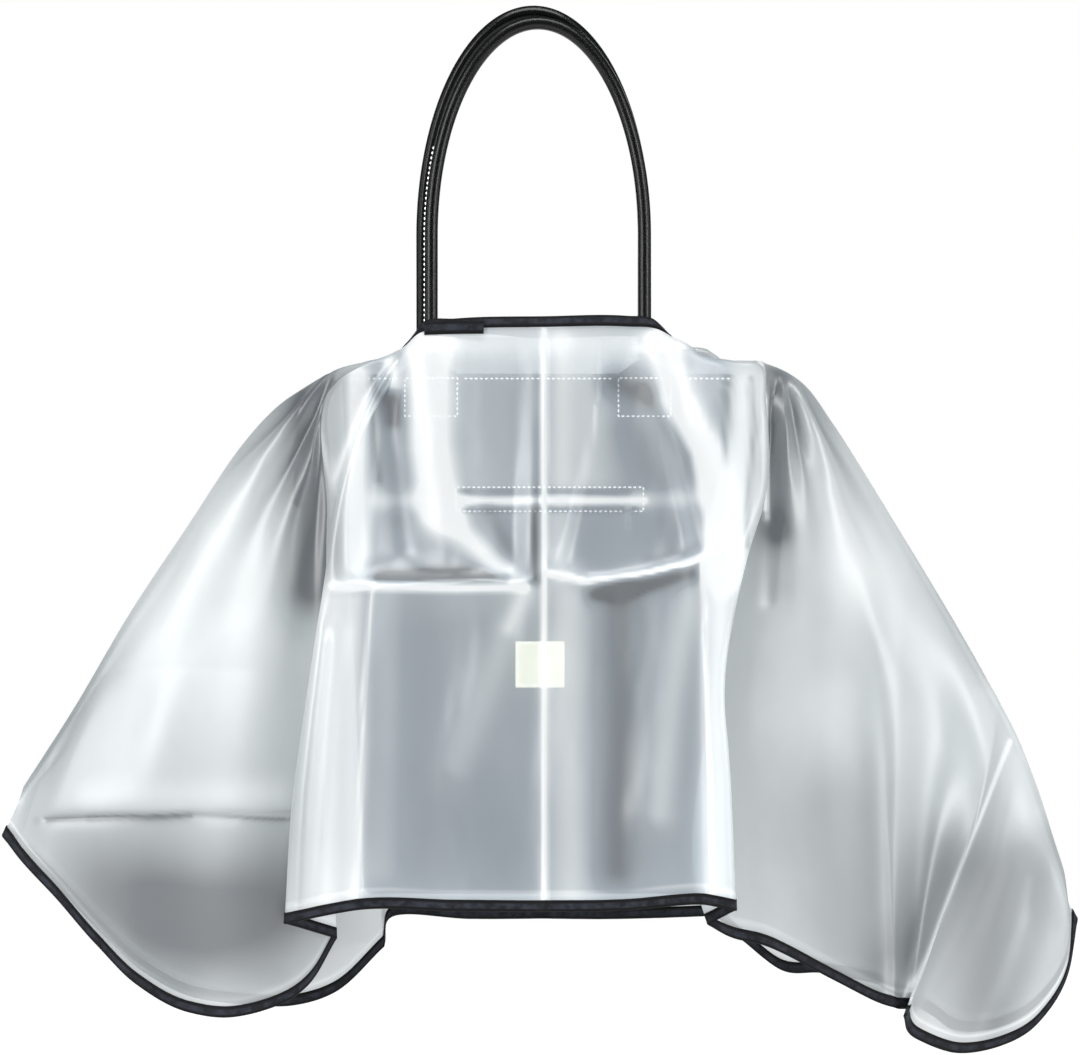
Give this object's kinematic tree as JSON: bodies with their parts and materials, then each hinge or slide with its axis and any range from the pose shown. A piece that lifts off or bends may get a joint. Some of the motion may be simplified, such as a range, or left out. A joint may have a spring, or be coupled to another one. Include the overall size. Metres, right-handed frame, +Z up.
{
  "type": "handbag rain cape on a tote",
  "caption": "Frosted translucent rain cape with bound neck slit and hem, draped over a leather tote that hangs by its two rolled handles.",
  "frame": {"origin": "the point that the handles hang from, at the inner top of the front handle's arch", "axes": "+Z up, -Y the tote's front, +X to the right when the front faces the viewer"},
  "size_m": [0.7732, 0.1606, 0.7504],
  "materials": {
    "film": "frosted translucent PEVA film",
    "binding": "black folded woven tape",
    "leather": "fine-grained black leather, semi-gloss",
    "handle_leather": "smooth black rolled leather, glossy",
    "cord": "cotton filler cord",
    "board": "grey bag board",
    "lining": "black cotton lining",
    "zip_tape": "black woven zip tape",
    "zip_metal": "polished nickel",
    "label": "cream woven cloth, blank"
  },
  "bodies": {
    "bag": {"bag_front_panel": "leather", "bag_back_panel": "leather", "bag_left_gusset": "leather", "bag_right_gusset": "leather", "bag_base": "leather", "base_stiffener": "board", "lining": "lining", "top_facing": "leather", "front_tab_left": "leather", "front_tab_right": "leather", "back_tab_left": "leather", "back_tab_right": "leather", "zip_tape": "zip_tape", "zip_teeth": "zip_metal", "zip_end_stops": "zip_metal", "pocket_pouch": "lining", "label_patch": "label"},
    "front_handle": {"front_handle_tube": "handle_leather", "front_handle_core": "cord"},
    "back_handle": {"back_handle_tube": "handle_leather", "back_handle_core": "cord"},
    "zip_slider": {"zip_slider": "zip_metal"},
    "zip_pull": {"zip_pull": "zip_metal"},
    "cape": {"cape_front_film": "film", "cape_back_film": "film", "left_shoulder_film": "film", "right_shoulder_film": "film", "neck_binding": "binding", "neck_binding_lap": "binding", "front_hem_binding": "binding", "back_hem_binding": "binding", "left_shoulder_hem_binding": "binding", "right_shoulder_hem_binding": "binding"},
    "left_wing": {"left_wing_film": "film", "left_wing_hem_binding": "binding"},
    "right_wing": {"right_wing_film": "film", "right_wing_hem_binding": "binding"}
  },
  "joints": [
    {"name": "front_handle_fold", "type": "hinge", "parent": "bag", "child": "front_handle", "pos_m": [0, -0.0235, -0.2325], "axis": [1, 0, 0], "range_deg": [0, 35]},
    {"name": "back_handle_fold", "type": "hinge", "parent": "bag", "child": "back_handle", "pos_m": [0, 0.0235, -0.2325], "axis": [-1, 0, 0], "range_deg": [0, 35]},
    {"name": "zip_run", "type": "slide", "parent": "bag", "child": "zip_slider", "axis": [-1, 0, 0], "range_m": [0, 0.105]},
    {"name": "zip_pull_swing", "type": "hinge", "parent": "zip_slider", "child": "zip_pull", "pos_m": [0.063, -0.0353, -0.33758], "axis": [-1, 0, 0], "range_deg": [0, 40]},
    {"name": "cape_lift", "type": "slide", "parent": "bag", "child": "cape", "axis": [0, 0, 1], "range_m": [0, 0.76]},
    {"name": "left_wing_swing", "type": "hinge", "parent": "cape", "child": "left_wing", "pos_m": [-0.176, 0, -0.4], "axis": [0, 0, 1], "range_deg": [-15, 15], "deforming": ["left_shoulder_film", "left_shoulder_hem_binding"]},
    {"name": "right_wing_swing", "type": "hinge", "parent": "cape", "child": "right_wing", "pos_m": [0.19, 0, -0.4], "axis": [0, 0, 1], "range_deg": [-15, 15], "deforming": ["right_shoulder_film", "right_shoulder_hem_binding"]}
  ]
}
